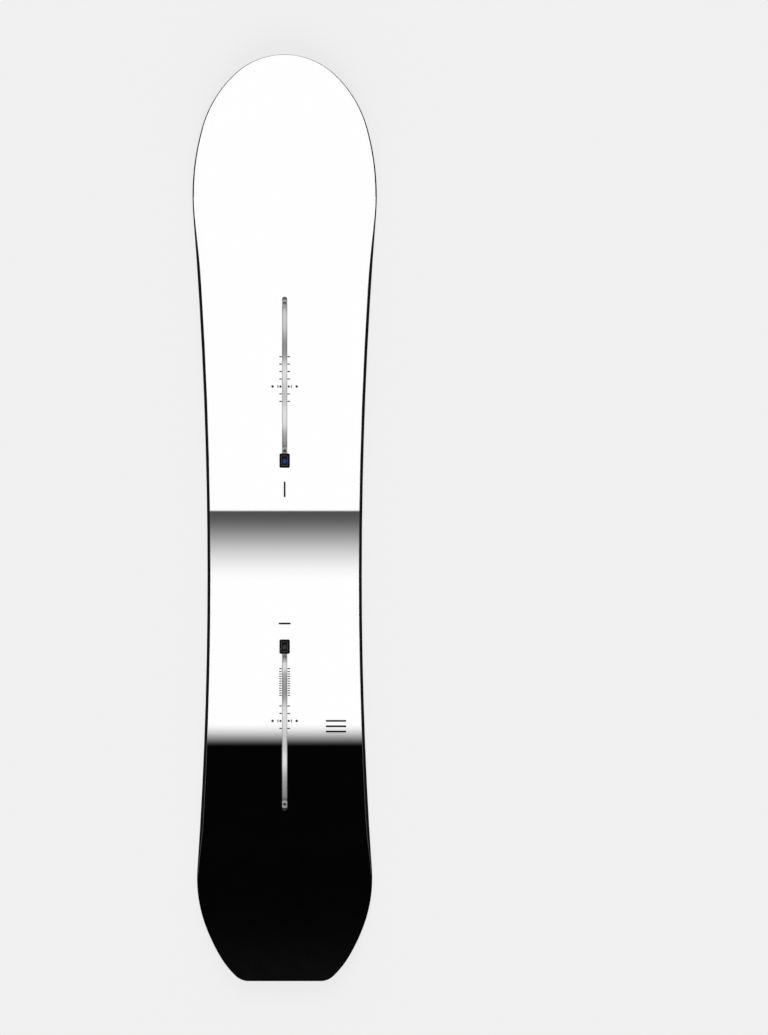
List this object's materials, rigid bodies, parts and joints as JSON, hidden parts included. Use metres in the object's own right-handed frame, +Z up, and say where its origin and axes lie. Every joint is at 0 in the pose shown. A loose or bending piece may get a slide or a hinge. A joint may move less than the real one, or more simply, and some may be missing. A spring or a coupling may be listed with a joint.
{
  "type": "snowboard",
  "caption": "Directional freeride snowboard with sidecut, raised nose and blunt tail, a T-slot track under each foot with sliding M6 nuts, and lift-out end plugs.",
  "frame": {"origin": "under the middle of the board's length, on its centreline, in the plane of the flat running base", "axes": "+Z up out of the topsheet, +Y towards the rounded nose, +X across the board to the right of a rider who looks along +Y"},
  "size_m": [0.3104, 1.56, 0.0513],
  "materials": {
    "topsheet": "satin printed topsheet, white with a plain band and a black tail",
    "fibreglass": "resin-wetted woven glass laminate",
    "base_sheet": "sintered polyethylene with plain soft stripes",
    "base_white": "white die-cut base inlay",
    "base_mark": "printed die-cut base inlay",
    "edge_steel": "ground steel edge",
    "sidewall": "satin black ABS sidewall",
    "spacer": "satin black ABS tip filler",
    "core_wood": "planed light wood laminated lengthwise",
    "channel_metal": "clear anodised extrusion",
    "plug_frame": "moulded black nylon",
    "plug_panel_blue": "dark blue panel",
    "plug_panel_grey": "dark grey panel",
    "nut_steel": "zinc-plated steel"
  },
  "bodies": {
    "board": {"topsheet": "topsheet", "top_fibreglass": "fibreglass", "bottom_fibreglass": "fibreglass", "base_sheet": "base_sheet", "base_disc_inlay": "base_white", "base_disc_dot": "base_mark", "steel_edge_left": "edge_steel", "steel_edge_right": "edge_steel", "steel_edge_nose": "edge_steel", "steel_edge_tail": "edge_steel", "sidewall_left": "sidewall", "sidewall_right": "sidewall", "nose_spacer": "spacer", "tail_spacer": "spacer", "core_inner_left": "core_wood", "core_inner_right": "core_wood", "core_middle_left": "core_wood", "core_middle_right": "core_wood", "core_outer_left": "core_wood", "core_outer_right": "core_wood", "core_edge_left": "core_wood", "core_edge_right": "core_wood", "core_centre_nose": "core_wood", "core_centre_middle": "core_wood", "core_centre_tail": "core_wood", "front_channel": "channel_metal", "rear_channel": "channel_metal"},
    "front_plug": {"front_plug": "plug_frame", "front_plug_panel": "plug_panel_blue"},
    "rear_plug": {"rear_plug": "plug_frame", "rear_plug_panel": "plug_panel_grey"},
    "front_nut_inner": {"front_nut_inner": "nut_steel"},
    "front_nut_outer": {"front_nut_outer": "nut_steel"},
    "rear_nut_inner": {"rear_nut_inner": "nut_steel"},
    "rear_nut_outer": {"rear_nut_outer": "nut_steel"}
  },
  "joints": [
    {"name": "front_plug_lift", "type": "slide", "parent": "board", "child": "front_plug", "axis": [0, 0, 1], "range_m": [0, 0.03]},
    {"name": "front_nut_inner_slide", "type": "slide", "parent": "board", "child": "front_nut_inner", "axis": [0, 1, 0], "range_m": [0, 0.117]},
    {"name": "front_nut_outer_slide", "type": "slide", "parent": "board", "child": "front_nut_outer", "axis": [0, 1, 0], "range_m": [-0.117, 0]},
    {"name": "rear_plug_lift", "type": "slide", "parent": "board", "child": "rear_plug", "axis": [0, 0, 1], "range_m": [0, 0.03]},
    {"name": "rear_nut_inner_slide", "type": "slide", "parent": "board", "child": "rear_nut_inner", "axis": [0, 1, 0], "range_m": [-0.117, 0]},
    {"name": "rear_nut_outer_slide", "type": "slide", "parent": "board", "child": "rear_nut_outer", "axis": [0, 1, 0], "range_m": [0, 0.117]}
  ]
}
